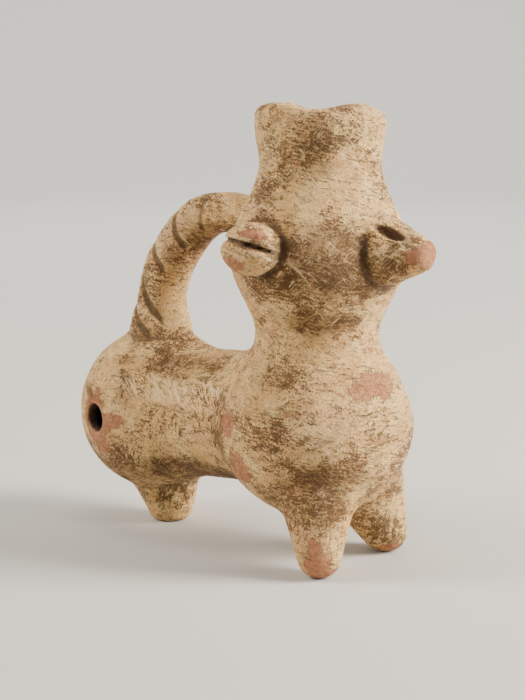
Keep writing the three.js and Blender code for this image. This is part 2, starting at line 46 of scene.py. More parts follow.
ST_R = np.array([36.26, 34.29, 29.26, 24.06, 23.01, 26.07, 30.84, 32.42, 30.17, 24.94, 22.17, 23.37, 23.86, 23.86])
TORSO_X, TORSO_LEAN = -0.51, 0.02
RIM_Z, RIM_COS, RIM_SIN = 166.55, (-0.59, 0.46, -0.01, 0.76), (-0.83, 0.28, -0.30, -0.60)
TUBE_Z0, TUBE_R = 51.14, 25.07
RUMP_C, RUMP_R = np.array([0, 81.08, 45.9]), np.array([30.84, 32.01, 32.64])
LEGS = (((-14.4, -12.19, 27.91), (-19.89, -17.17, 7.52), 13.9, 8.04, 5.09),
        ((15.61, -11.88, 27.91), (22.29, -16.56, 7.52), 13.9, 8.04, 5.09),
        ((2.24, 80.3, 23.75), (2.24, 77.17, 6.74), 15.48, 9.63, 2.81))
HANDLE = np.array([[24.93, 124.59, 7.48], [44.93, 126.59, 7.83], [60.08, 120.97, 9.06],
                   [74.04, 104.65, 9.62], [78.77, 89.51, 9.97], [79.29, 72.77, 13.27]])
MZ_YAW, EAR_YAW = math.radians(3.62), math.radians(5.0)
MZ_DIR = np.array([math.sin(MZ_YAW), -math.cos(MZ_YAW), 0])
MZ_A, MZ_B = MZ_DIR * 16 + [0, 0, 116.4], MZ_DIR * 42.27 + [0, 0, 115.53]
EAR_DIR = np.array([-math.cos(EAR_YAW), math.sin(EAR_YAW), 0])
EAR_Z, EAR_R, EAR_RAD, EAR_OVAL = 117.75, 33.9, 9.2, 1.24
HOLE_AT = np.array([-30.05, 87.91, 45.35])
HOLE_N = (HOLE_AT - RUMP_C) / np.linalg.norm(HOLE_AT - RUMP_C)


def unit(v):
    v = np.array(v, float)
    return v / np.linalg.norm(v)


def smin(a, b, k):
    h = np.clip(0.5 + 0.5 * (b - a) / k, 0, 1)
    return b * (1 - h) + a * h - k * h * (1 - h)


def smax(a, b, k):
    return -smin(-a, -b, k)


def step(a, b, x):
    t = np.clip((x - a) / (b - a), 0, 1)
    return t * t * (3 - 2 * t)


def ellipsoid(P, c, r):
    q = (P - c) / r
    k0 = np.sqrt((q * q).sum(-1))
    k1 = np.sqrt(((q / r) ** 2).sum(-1))
    return k0 * (k0 - 1) / np.maximum(k1, 1e-9)


def round_cone(P, a, b, r1, r2):
    a, b = np.asarray(a, float), np.asarray(b, float)
    ba = b - a
    l2 = (ba * ba).sum()
    rr = r1 - r2
    a2, il2 = l2 - rr * rr, 1 / l2
    pa = P - a
    y = pa @ ba
    z = y - l2
    x2 = ((pa * l2 - y[:, None] * ba[None]) ** 2).sum(-1)
    y2, z2 = y * y * l2, z * z * l2
    k = np.sign(rr) * rr * rr * x2
    d = (np.sqrt(np.maximum(x2 * a2 * il2, 0)) + y * rr) * il2 - r1
    c1 = np.sign(z) * a2 * z2 > k
    d = np.where(c1, np.sqrt(np.maximum(x2 + z2, 0)) * il2 - r2, d)
    c2 = (~c1) & (np.sign(y) * a2 * y2 < k)
    return np.where(c2, np.sqrt(np.maximum(x2 + y2, 0)) * il2 - r1, d)


ST_M = np.gradient(ST_R, ST_Z)
ST_M[0] = 0


def torso_radius(z):
    i = np.clip(np.searchsorted(ST_Z, z) - 1, 0, len(ST_Z) - 2)
    h = ST_Z[i + 1] - ST_Z[i]
    t = np.clip((z - ST_Z[i]) / h, 0, 1)
    t2, t3 = t * t, t * t * t
    r = (2 * t3 - 3 * t2 + 1) * ST_R[i] + (t3 - 2 * t2 + t) * h * ST_M[i] + (3 * t2 - 2 * t3) * ST_R[i + 1] + (t3 - t2) * h * ST_M[i + 1]
    dr = (6 * t2 - 6 * t) * (ST_R[i] - ST_R[i + 1]) / h + (3 * t2 - 4 * t + 1) * ST_M[i] + (3 * t2 - 2 * t) * ST_M[i + 1]
    return r, dr


def torso_local(P):
    x = P[:, 0] - TORSO_X - TORSO_LEAN * (P[:, 2] - CZ)
    y = P[:, 1]
    return x, y, np.sqrt(x * x + y * y)


def torso_side(P, inset):
    x, y, rho = torso_local(P)
    z = P[:, 2]
    r, dr = torso_radius(z)
    up = (rho - (r - inset)) / np.sqrt(1 + dr * dr)
    lo = ellipsoid(np.stack([x, y, z], 1), np.array([0, 0, CZ]), np.array([CR, CR, CDROP]) - inset)
    return np.where(z > CZ, up, lo)


def rim_height(P):
    x, y, rho = torso_local(P)
    a = np.arctan2(x, -y)
    w = RIM_Z + sum(RIM_COS[n] * np.cos((n + 1) * a) + RIM_SIN[n] * np.sin((n + 1) * a) for n in range(4))
    return np.where(rho > 1, w, RIM_Z)


def body_side(P, inset):
    rump = ellipsoid(P, RUMP_C, RUMP_R - inset)
    a = np.array([0, 0, TUBE_Z0])
    ax = unit(RUMP_C - a)
    q = P - a
    t = q @ ax
    off = np.sqrt(np.maximum((q * q).sum(-1) - t * t, 0))
    tube = np.maximum(off - (TUBE_R - inset), np.maximum(t - np.linalg.norm(RUMP_C - a), -t))
    return smin(rump, tube, 8.1)


def handle_curve(steps=4):
    P = np.vstack([2 * HANDLE[0] - HANDLE[1], HANDLE, 2 * HANDLE[-1] - HANDLE[-2]])
    P[0, 2], P[-1, 2] = HANDLE[0, 2], HANDLE[-1, 2]
    out = []
    for s in range(1, len(P) - 2):
        for t in np.linspace(0, 1, steps, endpoint=False):
            t2, t3 = t * t, t * t * t
            w = 0.5 * np.array([-t3 + 2 * t2 - t, 3 * t3 - 5 * t2 + 2, -3 * t3 + 4 * t2 + t, t3 - t2])
            out.append(w @ P[s - 1:s + 3])
    out.append(P[-2])
    return np.array(out)


HC = handle_curve()
HC3 = np.stack([np.zeros(len(HC)), HC[:, 0], HC[:, 1]], 1)
HSEG = np.linalg.norm(np.diff(HC3, axis=0), axis=1)
HLEN = np.concatenate([[0], np.cumsum(HSEG)])


def handle_side(P):
    d = np.full(len(P), 60.0)
    near = np.nonzero((P[:, 1] > 8) & (P[:, 2] > 50) & (np.abs(P[:, 0]) < 26))[0]
    if len(near):
        Q = P[near]
        best = np.full(len(Q), 60.0)
        for i in range(len(HC) - 1):
            best = np.minimum(best, round_cone(Q, HC3[i], HC3[i + 1], HC[i, 2], HC[i + 1, 2]))
        d[near] = best
    return d


# ear lug: two lips with a slanting slit between them
SLIT_AT = np.array([-39.94, -0.1, 119.75])
SLIT_N = unit([0.275, -0.149, 0.95])
SLIT_U = unit([0.504, -0.819, -0.275])
FACET_N = unit([-0.80, -0.58, 0.16])


def ear_side(P):
    """Right-hand ear lug; P is mirrored for the left one."""
    ey = np.abs(P[:, 0]) * math.tan(EAR_YAW)
    Q = np.stack([P[:, 0], ey + (P[:, 1] - ey) / EAR_OVAL, P[:, 2]], 1)
    base = round_cone(Q, EAR_DIR * 22 + [0, 0, EAR_Z], EAR_DIR * EAR_R + [0, 0, EAR_Z], 8.3, EAR_RAD)
    s = (P - SLIT_AT) @ SLIT_N
    u = (P - SLIT_AT) @ SLIT_U
    upper = smax(base, (P - EAR_DIR * EAR_R - [0, 0, EAR_Z]) @ FACET_N - 8.7, 0.3)
    lower = base - 0.35 * step(0, -3, s)
    d = np.where(s > 0, upper, lower)
    w = 3.6 - 1.8 * np.clip((u + 13) / 23, 0, 1)
    k = np.clip((s + 0.82 * w) / w, 0, 1)
    depth = 2.1 * step(13.5, 6.5, u) * (0.45 + 0.55 * step(-13, -5, u)) + 0.05
    cut = np.maximum(s - 0.18 * w, (-(upper * k + base * (1 - k)) - depth * k ** 1.3) * 0.7)
    cut = np.maximum(np.maximum(cut, -s - 0.95 * w), (u - 12.0) * 0.5)
    return d, cut


def muzzle_side(P):
    d = round_cone(P, MZ_A, MZ_B, 17.85, 6.51)
    for side in (-1, 1):      # full cheeks, which end in an edge against the head
        d = smin(d, ellipsoid(P, MZ_DIR * 30.6 + [side * 3.7, 0, 115.2], np.array([9.6, 6.6, 10.0])), 2.0)
    tip = unit(MZ_DIR + np.array([-0.10, 0, -0.08]))
    return smax(d, (P - MZ_DIR * 47.7 - [0, 0, 115.5]) @ tip, 1.0)


HOL_AT = np.array([-5.7, -35.6, 124.0])
HOL_X = unit([0.35, -0.86, -0.38])
HOL_Z = unit(np.cross(HOL_X, np.cross(np.array([-0.6, -0.5, 0.62]), HOL_X)))
HOL_Y = np.cross(HOL_Z, HOL_X)


def hollow_local(P):
    q = P - HOL_AT
    return q @ HOL_X, q @ HOL_Y, q @ HOL_Z


def outside(P):
    t, b = torso_side(P, 0), body_side(P, 0)
    t = smax(t, P[:, 2] - rim_height(P), 5.0)
    d = smin(t, b, 4.2 + 5.28 * step(34, 62, P[:, 2]))
    for top, foot, rt, rf, k in LEGS:
        leg = round_cone(P, top, foot, rt, rf)
        if top[0] > 10:
            # the left front leg is fuller on its inner side
            leg = smin(leg, round_cone(P, (12.8, -10.3, 27.91), (20.6, -15.6, 8.1), 13.9, 7.9), 1.0)
        d = smin(d, leg, k)
    d = smin(d, handle_side(P), 3.5)
    for side in (1, -1):
        near = np.nonzero((P[:, 0] * side < -14) & (np.abs(P[:, 2] - 116) < 22))[0]
        if len(near):
            Q = P[near] * [side, 1, 1]
            e, cut = ear_side(Q)
            hd = d[near]
            d[near] = smin(hd, smax(e, -cut, 0.8), 1.2)
    near = np.nonzero((P[:, 1] < -10) & (np.abs(P[:, 2] - 116) < 24))[0]
    if len(near):
        Q = P[near]
        mz = muzzle_side(Q)
        hd = d[near]
        d[near] = smin(hd, mz, 1.2)
        for side in (1, -1):
            a, b_, c = hollow_local(Q * [side, 1, 1])
            r = np.stack([a / 6.3, b_ / (2.15 - 0.05 * a), (c + 0.25 + 0.10 * a) / 2.7], 1)
            k0 = np.sqrt((r * r).sum(1))
            d[near] = smax(d[near], -(k0 - 1) * 2.1, 0.6)
    return d


def inside(P):
    """Field of the hollow: negative in the empty space."""
    t = torso_side(P, WALL)
    t = t + 1.6 * step(152, 164, P[:, 2])          # the lip is a little thicker than the wall
    return smin(t, body_side(P, WALL), 4.0)


def vessel(P):
    d = outside(P)
    d = smax(d, -inside(P), 2.0)
    q = P - HOLE_AT
    along = q @ HOLE_N
    off = np.sqrt(np.maximum((q * q).sum(1) - along ** 2, 0))
    hole = np.maximum(off - (5.55 + 0.10 * np.clip(along + 1.5, 0, 3)), -along - 14)
    d = smax(d, -hole, 1.1)
    d = smax(d, np.abs(P[:, 0]) - 43.1, 0.4)
    d = smax(d, P[:, 2] - 167.93, 0.3)
    d = smax(d, P[:, 1] - 113.05, 0.3)
    d = smax(d, -47.9 - P[:, 1], 0.3)
    return smax(d, -P[:, 2], 0.9)


# --------------------------------------------------------------------------
# gradient noise on points, seeded
_rng = np.random.default_rng(20260)
_PERM = np.concatenate([_rng.permutation(256)] * 3)
_GRAD = _rng.normal(size=(256, 3))
_GRAD /= np.linalg.norm(_GRAD, axis=1, keepdims=True)


def noise(P, scale=1.0, offset=0.0):
    p = P * scale + offset
    i = np.floor(p).astype(int)
    f = p - i
    i &= 255
    w = f * f * f * (f * (f * 6 - 15) + 10)
    out = 0
    for dx in (0, 1):
        for dy in (0, 1):
            for dz in (0, 1):
                g = _GRAD[_PERM[_PERM[_PERM[i[:, 0] + dx] + i[:, 1] + dy] + i[:, 2] + dz]]
                v = (g * (f - [dx, dy, dz])).sum(1)
                out = out + v * (w[:, 0] if dx else 1 - w[:, 0]) * (w[:, 1] if dy else 1 - w[:, 1]) * (w[:, 2] if dz else 1 - w[:, 2])
    return out * 1.6


def handle_param(P):
    """Arc length along the handle, angle round it (0 on the right flank), distance."""
    best = np.full(len(P), 1e9)
    s = np.zeros(len(P))
    ang = np.zeros(len(P))
    for i in range(len(HC3) - 1):
        a, b = HC3[i], HC3[i + 1]
        u = np.clip(((P - a) @ (b - a)) / HSEG[i] ** 2, 0, 1)
        q = a + u[:, None] * (b - a)
        d = np.linalg.norm(P - q, axis=1)
        m = d < best
        t = (b - a) / HSEG[i]
        e2 = np.cross(t, [-1.0, 0, 0])
        v = P - q
        best[m] = d[m]
        s[m] = HLEN[i] + u[m] * HSEG[i]
        ang[m] = np.degrees(np.arctan2((v @ e2)[m], -v[m, 0]))
    return s, ang, best


# oblique grooves round the handle: arc length at angle 0, mm per degree,
# first and last angle, half width, depth
GROOVES = [(25.5, -0.05, -60, 70, 1.4, 0.45), (40.2, -0.05, -48, 62, 1.6, 1.1), (55.0, -0.055, -32, 70, 1.5, 1.0),
           (71.6, -0.175, -50, 48, 1.7, 1.25), (82.8, -0.155, -26, 60, 1.5, 0.9),
           (33.0, 0.06, 115, 225, 1.5, 0.9), (49.0, 0.06, 120, 232, 1.5, 1.0), (64.5, 0.10, 118, 228, 1.6, 1.0), (78.0, 0.14, 125, 215, 1.5, 0.9)]


def groove_mask(P):
    s, a, d = handle_param(P)
    a2 = np.where(a < -90, a + 360, a)
    total = np.zeros(len(P))
    dark = np.zeros(len(P))
    for s0, m, lo, hi, w, depth in GROOVES:
        ref = a2 - (180 if lo > 90 else 0)
        c = s0 + m * ref
        end = step(lo - 8, lo + 14, a2) * step(hi + 8, hi - 14, a2)
        slope = math.hypot(1, m * 57.3 / 10)
        x = np.abs(s - c) / slope / w
        g = np.exp(-(x ** 2.6)) * end
        total = np.maximum(total, depth * g)
        dark = np.maximum(dark, g * min(1, depth / 0.8))
    on = step(22, 17, d)
    return total * on, dark * on


def seams(P):
    """Where the handle sits on the rump, and where chest and tube were joined."""
    h, r, t = handle_side(P), body_side(P, 0), torso_side(P, 0)
    wav = 0.8 * noise(P, 1 / 7.0, 4.4)
    foot = np.exp(-(((h - r + 0.6 + wav) / 1.1) ** 2)) * step(4.5, 2.0, np.maximum(h, r)) * (P[:, 2] > 60) * (P[:, 1] > 45)
    join = np.exp(-(((t - r + wav) / 1.2) ** 2)) * step(5.0, 2.5, np.maximum(t, r)) * step(76, 68, P[:, 2]) * (P[:, 1] > 0)
    return np.maximum(foot, 0.45 * join)


def rings(P):
    """Valleys where muzzle and ear lugs meet the head: a narrow one for the relief, and a wide soft one on the head for
    painted shade.
    """
    t = torso_side(P, 0)
    m = muzzle_side(P)
    wav = 1 + 0.35 * noise(P, 1 / 6.0, 19.0)
    low = (P[:, 1] < -10) * step(127, 121, P[:, 2])
    near = np.exp(-((t / 1.2) ** 2 + (m / 1.3) ** 2)) * low * wav
    soft = np.exp(-((np.maximum(t, 0) / 1.6) ** 2 + (np.maximum(m, 0) / 2.2) ** 2)) * low * wav
    for side in (1, -1):
        e, _c = ear_side(P * [side, 1, 1])
        on = (P[:, 0] * side < -14) * step(132, 122, P[:, 2] + 0.5 * P[:, 1])
        near = np.maximum(near, 0.8 * np.exp(-((t / 1.2) ** 2 + (e / 1.2) ** 2)) * on * wav)
        soft = np.maximum(soft, np.exp(-((np.maximum(t, 0) / 1.3) ** 2 + (np.maximum(e, 0) / 1.8) ** 2)) * on * wav)
    return near, np.clip(soft, 0, 1)


def relief(P, N):
    """How far the finished skin stands out from the smooth field, in mm."""
    d = 0.28 * noise(P, 1 / 19.0, 3.1) + 0.16 * noise(P, 1 / 8.5, 11.7) + 0.07 * noise(P, 1 / 3.4, 5.3)
    tilt = P @ np.array([[1, 0, 0], [0, 1, 0], [0.0, 0.0, 1]])
    around = tilt * [0.10, 0.10, 0.55]
    d += 0.07 * noise(around, 1.0, 31.0) * step(20, 50, P[:, 2])
    g, _ = groove_mask(P)
    near = np.nonzero((P[:, 1] > 20) & (P[:, 2] > 70))[0]
    gg = np.zeros(len(P))
    gg[near] = g[near]
    d -= gg
    # crease pressed in round the muzzle's base, and lighter ones round the ears
    ring, _r = rings(P)
    d -= 1.0 * ring
    for side in (1, -1):
        Q = P * [side, 1, 1]
        a, b, c = hollow_local(Q)
        rho = np.sqrt((a / 6.6) ** 2 + (b / 2.5) ** 2)
        lip = np.exp(-((rho - 1.22) / 0.24) ** 2) * (np.abs(c) < 4)
        d += 0.42 * lip * (0.35 + 0.65 * step(1.5, -2.5, b)) * step(7, 4, a)
    d -= 0.55 * seams(P)
    # small pits and grit
    pit = noise(P, 1 / 2.3, 47.0)
    d -= 0.16 * step(0.42, 0.75, pit)
    floor = step(0.3, 3.5, P[:, 2])
    return d * floor


# --------------------------------------------------------------------------
def surface(h, lo, hi):
    K = 4
    n = [int(math.ceil((b - a) / h / K)) * K + 1 for a, b in zip(lo, hi)]
    ax = [lo[c] + h * np.arange(n[c]) for c in range(3)]
    cx = [a[::K] for a in ax]
    G = np.stack(np.meshgrid(*cx, indexing="ij"), -1)
    C = vessel(G.reshape(-1, 3)).reshape(G.shape[:3]).astype(np.float32)
    near = np.abs(C) < 5.6 * h
    act = np.zeros([s - 1 for s in C.shape], bool)
    for i in (0, 1):
        for j in (0, 1):
            for k in (0, 1):
                act |= near[i:i + act.shape[0], j:j + act.shape[1], k:k + act.shape[2]]
    F = np.where(np.repeat(np.repeat(np.repeat(C, K, 0), K, 1), K, 2)[:n[0], :n[1], :n[2]] < 0, -9, 9).astype(np.float32)
    todo = np.zeros(F.shape, bool)
    ai = np.argwhere(act) * K
    for i in range(K + 1):
        for j in range(K + 1):
            for k in range(K + 1):
                todo[ai[:, 0] + i, ai[:, 1] + j, ai[:, 2] + k] = True
    ti = np.argwhere(todo)
    vals = np.empty(len(ti), np.float32)
    for s in range(0, len(ti), 200000):
        q = ti[s:s + 200000]
        vals[s:s + 200000] = vessel(np.stack([ax[c][q[:, c]] for c in range(3)], 1))
    F[todo] = vals
    S = F < 0
    cnt = np.zeros([s - 1 for s in F.shape], np.int8)
    for i in (0, 1):
        for j in (0, 1):
            for k in (0, 1):
                cnt += S[i:i + cnt.shape[0], j:j + cnt.shape[1], k:k + cnt.shape[2]]
    mixed = (cnt > 0) & (cnt < 8)
    cells = np.argwhere(mixed)
    index = -np.ones(mixed.shape, np.int64)
    index[mixed] = np.arange(len(cells))
    corner = np.array([[i, j, k] for i in (0, 1) for j in (0, 1) for k in (0, 1)])
    V8 = np.stack([F[cells[:, 0] + c[0], cells[:, 1] + c[1], cells[:, 2] + c[2]] for c in corner], 1)
    acc = np.zeros((len(cells), 3))
    num = np.zeros(len(cells))
    for a in range(8):
        for b in range(a + 1, 8):
            if np.abs(corner[a] - corner[b]).sum() != 1:
                continue
            m = (V8[:, a] < 0) != (V8[:, b] < 0)
            t = np.where(m, V8[:, a] / np.where(m, V8[:, a] - V8[:, b], 1), 0)
            acc += np.where(m[:, None], corner[a] + t[:, None] * (corner[b] - corner[a]), 0)
            num += m
    verts = np.array(lo) + h * (cells + acc / num[:, None])
    quads = []
    for axis in range(3):
        o1, o2 = [(1, 2), (2, 0), (0, 1)][axis]
        sl0 = [slice(None)] * 3
        sl1 = [slice(None)] * 3
        sl0[axis], sl1[axis] = slice(0, -1), slice(1, None)
        ch = S[tuple(sl0)] != S[tuple(sl1)]
        e = np.argwhere(ch)
        e = e[(e[:, o1] > 0) & (e[:, o2] > 0)]
        flip = S[e[:, 0], e[:, 1], e[:, 2]]
        c = []
        for d1, d2 in ((1, 1), (0, 1), (0, 0), (1, 0)):
            q = e.copy()
            q[:, o1] -= d1
            q[:, o2] -= d2
            c.append(index[q[:, 0], q[:, 1], q[:, 2]])
        Q = np.stack(c, 1)
        Q[~flip] = Q[~flip][:, ::-1]
        quads.append(Q)
    return verts, np.concatenate(quads)


def gradient(P, e=0.15):
    g = np.stack([vessel(P + d) - vessel(P - d) for d in np.eye(3) * e], 1) / (2 * e)
    return g


# Where more soil and brown film has stayed, and painted shade on the undersides, at the tops of the legs and under the
# handle's top: centre, radii and strength
FILM_AND_SHADE = [
    ((-24, -22, 112), (17, 17, 16), 0.95), ((-8, -34, 109), (11, 10, 9), 0.80), ((-20, -16, 92), (17, 14, 5.5), 1.00),
    ((-30, 2, 105), (9, 12, 7), 0.60), ((-18, -18, 27), (20, 20, 8), 0.80), ((-24, -20, 38), (19, 18, 8.0), 1.00), ((12, -24, 30), (12, 12, 7), 0.50),
    ((-12, 42, 27), (24, 40, 7.5), 1.00), ((-14, 80, 24), (24, 24, 6), 0.70), ((-14, 50, 68), (9, 28, 6), 0.55),
    ((-21, 76.5, 67.5), (4, 4, 3.2), 0.95), ((-25, 73, 62), (4, 3.6, 2.8), 0.95), ((-26.5, 73, 56), (5, 5, 3.6), 0.8), ((-27, 24, 40), (9, 6, 14), 0.35), ((-12, 78, 78), (10, 9, 6), 0.60),
    ((0, 36, 120), (12, 12, 7), 0.50), ((-17, -12, 152), (5, 8, 12), 0.45), ((20, 22, 150), (10, 12, 16), 0.50),
    ((24, 10, 92), (14, 18, 7), 0.80), ((28, 50, 40), (12, 24, 10), 0.55), ((10, 30, 28), (24, 30, 9), 0.80),
    ((12, 30, 104), (18, 14, 12), 0.55), ((-14, -28, 115), (6, 6, 15), 0.95), ((-5, -30, 103), (12, 6, 5), 0.9), ((-15.5, -27, 117), (3.6, 4.6, 13), 1.0), ((-28, -4, 72), (8, 10, 6), 0.55),
    ((-4, 50, 116), (10, 16, 9), 0.85), ((-8, 52, 116), (6, 11, 5), 1.0), ((-9, 62, 110), (5, 6, 6), 0.8), ((-27, -10, 117), (7, 6, 12), 0.85)]
# Where the slip has flaked off the red clay: centre and radii
FLAKED = [
    ((-30.3, 88.0, 45.4), (9.0, 8.4, 9.8)), ((-32.0, 77.5, 45.5), (6.0, 7.0, 3.0)), ((-28.5, 84.5, 36.0), (8.0, 5.0, 4.2)),
    ((-9.0, -29.5, 68.6), (7.0, 8.0, 4.0)), ((-0.5, -30.0, 68.2), (6.0, 8.0, 4.4)), ((-33.5, 15.0, 53.0), (8.0, 4.6, 4.8)),
    ((-33.0, 10.0, 38.0), (9.0, 6.0, 6.6)), ((0.5, -48.2, 115.6), (7.0, 2.8, 6.6)), ((-4.5, -45.0, 115.4), (3.4, 3.6, 2.6)),
    ((-26.0, -21.5, 8.0), (4.6, 5.0, 6.6)), ((-22.0, -23.0, 1.6), (7.0, 7.0, 2.8)), ((16.3, -22.0, 1.2), (6.0, 5.0, 2.6)),
    ((-39.5, -4.0, 123.4), (4.0, 7.5, 1.7)), ((-41.5, 6.0, 112.2), (5.0, 7.0, 3.2)), ((29.0, 92.0, 52.0), (6.0, 6.0, 6.0)),
    ((31.5, 30.0, 44.0), (6.0, 9.0, 5.0)), ((27.5, 2.5, 118.0), (4.0, 6.0, 4.0)), ((12.0, 104.0, 60.0), (6.0, 5.0, 5.0)),
    ((-1.0, 88.5, 106.0), (6.0, 4.0, 8.0)), ((-4.5, 60.0, 125.5), (2.6, 5.0, 2.4))]


def zones(V):
    """Smooth masks of the skin, at points in the torso's frame."""
    soft = 0.9 * noise(V, 1 / 11.0, 8.5) + 0.45 * noise(V, 1 / 4.6, 2.5)
    # soil and brown film, with painted shade from the shaded entries of the table
    film_and_shade = np.zeros(len(V))
    for c, r, amount in FILM_AND_SHADE:
        d = np.linalg.norm((V - c) / r, axis=1) + soft * 0.55
        film_and_shade = np.maximum(film_and_shade, amount * step(1.3, 0.35, d))
    patch = np.full(len(V), 2.0)
    for c, r in FLAKED:
        patch = np.minimum(patch, np.linalg.norm((V - c) / r, axis=1) - 1)
    wob = noise(V, 1 / 20.0, 61.0)
    comb = step(1.25, 0.7, np.linalg.norm((V - (-23, 45, 59)) / (10, 26, 5.5), axis=1) + 0.5 * wob)
    on_body = step(13, 27, V[:, 1] + 7 * wob) * step(84, 72, V[:, 2] + 7 * wob)
    on_leg = step(29, 19, V[:, 2] + 7 * wob)
    return film_and_shade, np.clip(patch, -1, 2), on_body, on_leg, comb


def refine(V, Q, pick):
    """Splits the picked quads in four; neighbours take the new points into their outline."""
    big = len(V)
    A, B = Q, np.roll(Q, -1, axis=1)
    key = np.minimum(A, B).astype(np.int64) * big + np.maximum(A, B)
    ukey = np.unique(key[pick])
    mids = 0.5 * (V[ukey // big] + V[ukey % big])
    cent = V[Q[pick]].mean(1)
    pos = np.clip(np.searchsorted(ukey, key), 0, len(ukey) - 1)
    M = np.where(ukey[pos] == key, big + pos, -1)
    c = big + len(ukey) + np.arange(int(pick.sum()))
    q, m = Q[pick], M[pick]
    fine = np.concatenate([np.stack([q[:, i], m[:, i], c, m[:, i - 1]], 1) for i in range(4)])
    rest, rm = Q[~pick], M[~pick]
    plain = (rm < 0).all(1)
    faces = fine.tolist() + rest[plain].tolist()
    for a, b in zip(rest[~plain].tolist(), rm[~plain].tolist()):
        f = []
        for i in range(4):
            f.append(a[i])
            if b[i] >= 0:
                f.append(b[i])
        faces.append(f)
    return np.vstack([V, mids, cent]), faces


def build_vessel():
    h = 1.16
    V, Q = surface(h, (-46.5, -50.5, -2.0), (46.5, 115.5, 170.0))
    C = V[Q].mean(1)
    t = torso_side(C, 0)
    lug = (np.abs(C[:, 0]) > 26) & (np.abs(C[:, 2] - EAR_Z) < 13) & (t > -2)
    snout = (C[:, 1] < -24) & (np.abs(C[:, 2] - 116) < 15) & (np.abs(C[:, 0]) < 14) & (muzzle_side(C) < 2.5)
    bow = (C[:, 1] > 26) & (C[:, 2] > 79) & (np.abs(C[:, 0]) < 13) & (handle_side(C) < 1.5)
    V, Q = refine(V, Q, (lug | snout | bow) & (outside(C) > -1.5))
    for _ in range(2):
        d, g = vessel(V), gradient(V)
        l = np.maximum((g * g).sum(1), 0.09)
        V = V - np.clip(d, -0.4, 0.4)[:, None] * g / l[:, None]
    g = gradient(V, 0.3)
    N = g / np.maximum(np.linalg.norm(g, axis=1, keepdims=True), 1e-6)
    inner = step(-1.2, -3.2, outside(V))
    depth = -outside(V)
    hole = np.linalg.norm(V - HOLE_AT, axis=1) < 12
    inner = np.where(hole, step(0.6, 1.6, depth), inner)
    # painted shade: darker deeper inside the mouth, and dark all through the rump hole
    inside_shade = inner * np.where(hole, 1, step(162, 112, V[:, 2]))
    # how hollow the place is: near (1.3 mm), mid (3.6 mm) and wide (7 mm), and how sharp an edge; the hollow masks
    # carry painted shade and the edge mask a painted highlight with wear
    crease = np.clip(1 - vessel(V + N * 1.6) / 1.6, 0, 1)
    mid = np.clip(1 - vessel(V + N * 3.6) / 3.6, 0, 1)
    wide = np.clip(1 - vessel(V + N * 7.0) / 7.0, 0, 1)
    edge_highlight_and_wear = np.clip(1 + vessel(V - N * 1.5) / 1.5, 0, 1)
    film_and_shade, patch, on_body, on_leg, comb = zones(V)
    _, dark = groove_mask(V)
    dark *= (V[:, 1] > 20) & (V[:, 2] > 70)
    seam = seams(V)
    _near, ring = rings(V)
    for side in (1, -1):      # painted shade inside the almond hollows, added to the ring mask
        a, b, c = hollow_local(V * [side, 1, 1])
        pit = step(1.05, 0.55, np.sqrt((a / 6.3) ** 2 + (b / 2.3) ** 2)) * (np.abs(c) < 4) * step(-0.6, 1.2, b + 0.9)
        ring = np.maximum(ring, 0.9 * pit)
    out = relief(V, N) * (1 - inner) + inner * 0.25 * noise(V, 1 / 9.0, 71.0)
    V = V + N * out[:, None]
    V[:, 2] = np.maximum(V[:, 2], 0.0)
    V[:, 0] = np.clip(V[:, 0], -43.14, 43.14)
    V[:, 1] = np.clip(V[:, 1], -47.93, 113.08)
    V[:, 2] = np.minimum(V[:, 2], 167.96)
    V[:, 1] -= SHIFT_Y
    me = bpy.data.meshes.new("zoomorphic_vessel")
    me.from_pydata((V / 1000).tolist(), [], Q)
    for name, val in (("crease", crease), ("mid", mid), ("wide", wide), ("edge_highlight_and_wear", edge_highlight_and_wear), ("inner", inner), ("inside_shade", inside_shade), ("groove", dark), ("seam", seam), ("ring", ring),
                      ("film_and_shade", film_and_shade), ("comb", comb), ("patch", patch), ("on_body", on_body), ("on_leg", on_leg)):
        a = me.attributes.new(name, "FLOAT", "POINT")
        a.data.foreach_set("value", val.astype(np.float32))
    me.validate()
    for p in me.polygons:
        p.use_smooth = True
    ob = bpy.data.objects.new("zoomorphic_vessel", me)
    bpy.context.scene.collection.objects.link(ob)
    # the inner wall needs fewer faces than the outer skin
    vg = ob.vertex_groups.new(name="inner_wall")
    deep = np.nonzero((inner > 0.98) & (V[:, 2] < 146) & (np.linalg.norm(V - (HOLE_AT - [0, SHIFT_Y, 0]), axis=1) > 13))[0]
    vg.add([int(i) for i in deep], 1.0, "REPLACE")
    bpy.context.view_layer.objects.active = ob
    ob.select_set(True)
    m = ob.modifiers.new("thin_out", "DECIMATE")
    m.vertex_group = "inner_wall"
    m.ratio = 1 - 0.90 * len(deep) / len(V)
    bpy.ops.object.modifier_apply(modifier="thin_out")
    ob.vertex_groups.clear()
    print("vessel mesh", len(ob.data.vertices), "points", sum(len(p.vertices) - 2 for p in ob.data.polygons), "triangles")
    return ob


